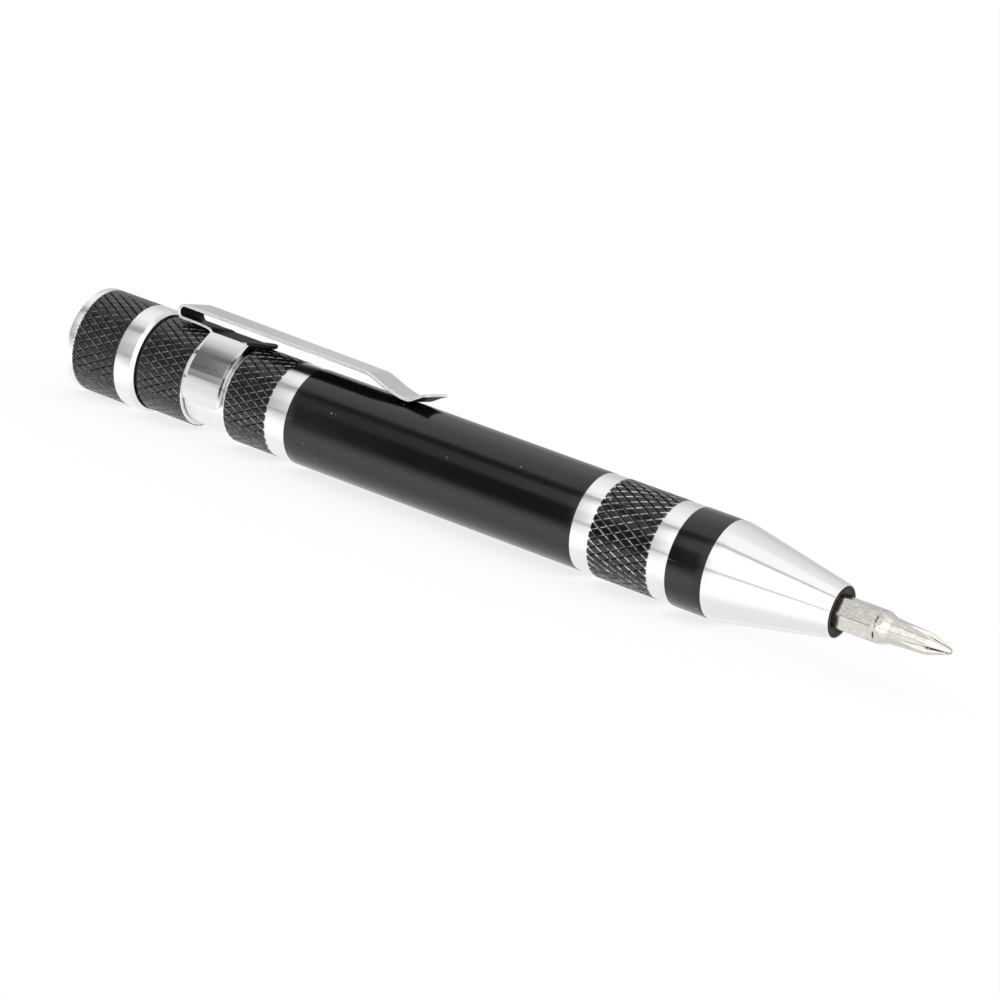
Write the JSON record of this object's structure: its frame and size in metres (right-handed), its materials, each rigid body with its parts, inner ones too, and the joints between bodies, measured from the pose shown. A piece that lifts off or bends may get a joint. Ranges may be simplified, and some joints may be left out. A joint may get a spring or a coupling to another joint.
{
  "type": "pocket screwdriver",
  "caption": "Pen-shaped pocket screwdriver with knurled grips, a spring pocket clip, a hexagonal cross bit in its nose and spare bits in a carrier behind the screw cap.",
  "frame": {"origin": "the point of the bit in use, on the axis of the pen", "axes": "+X along the axis from the cap to the point, +Z towards the pocket clip, +Y to its left"},
  "size_m": [0.1318, 0.0142, 0.016],
  "materials": {
    "black_anodised": "black anodised, semi-gloss",
    "bright_aluminium": "bright turned",
    "black_plastic": "matte",
    "magnet": "nickel plated",
    "bit_steel": "nickel plated, satin",
    "chrome_clip": "mirror",
    "black_rubber": "matte",
    "carrier_plastic": "satin moulded"
  },
  "bodies": {
    "barrel": {"barrel": "black_anodised", "nose_cone": "bright_aluminium", "bit_socket": "black_plastic", "socket_magnet": "magnet", "cap_seal": "black_rubber"},
    "bit": {"bit_cross_0": "bit_steel"},
    "clip": {"clip_band": "chrome_clip"},
    "clip_spring": {"clip_arm": "chrome_clip"},
    "magazine": {"bit_carrier": "carrier_plastic", "bit_cross_000": "bit_steel", "bit_cross_00": "bit_steel", "bit_cross_1": "bit_steel", "bit_flat_1_5": "bit_steel", "bit_flat_2_0": "bit_steel", "bit_flat_3_0": "bit_steel", "bit_star_5": "bit_steel", "bit_star_6": "bit_steel", "bit_star_8": "bit_steel"},
    "pad": {"cap_pad": "black_rubber"},
    "cap": {"rear_cap": "black_anodised"}
  },
  "joints": [
    {"name": "bit_pull", "type": "slide", "parent": "barrel", "child": "bit", "axis": [1, 0, 0], "range_m": [0, 0.0135]},
    {"name": "magazine_draw", "type": "slide", "parent": "barrel", "child": "magazine", "axis": [-1, 0, 0], "range_m": [0, 0.09]},
    {"name": "cap_travel", "type": "slide", "parent": "magazine", "child": "pad", "axis": [-1, 0, 0], "range_m": [0, 0.005]},
    {"name": "cap_turn", "type": "hinge", "parent": "pad", "child": "cap", "pos_m": [-0.126, 0, 0], "axis": [-1, 0, 0], "range_deg": [0, 1800]},
    {"name": "clip_swivel", "type": "hinge", "parent": "barrel", "child": "clip", "pos_m": [-0.1093, 0, 0], "axis": [1, 0, 0], "continuous": true},
    {"name": "clip_flex", "type": "hinge", "parent": "clip", "child": "clip_spring", "pos_m": [-0.11834, 0, 0.00784], "axis": [0, -1, 0], "range_deg": [0, 4], "stiffness_Nm_per_rad": 0.4}
  ],
  "couplings": [
    {"joint": "cap_turn", "follows": "cap_travel", "rad_per_m": 6283.2}
  ]
}
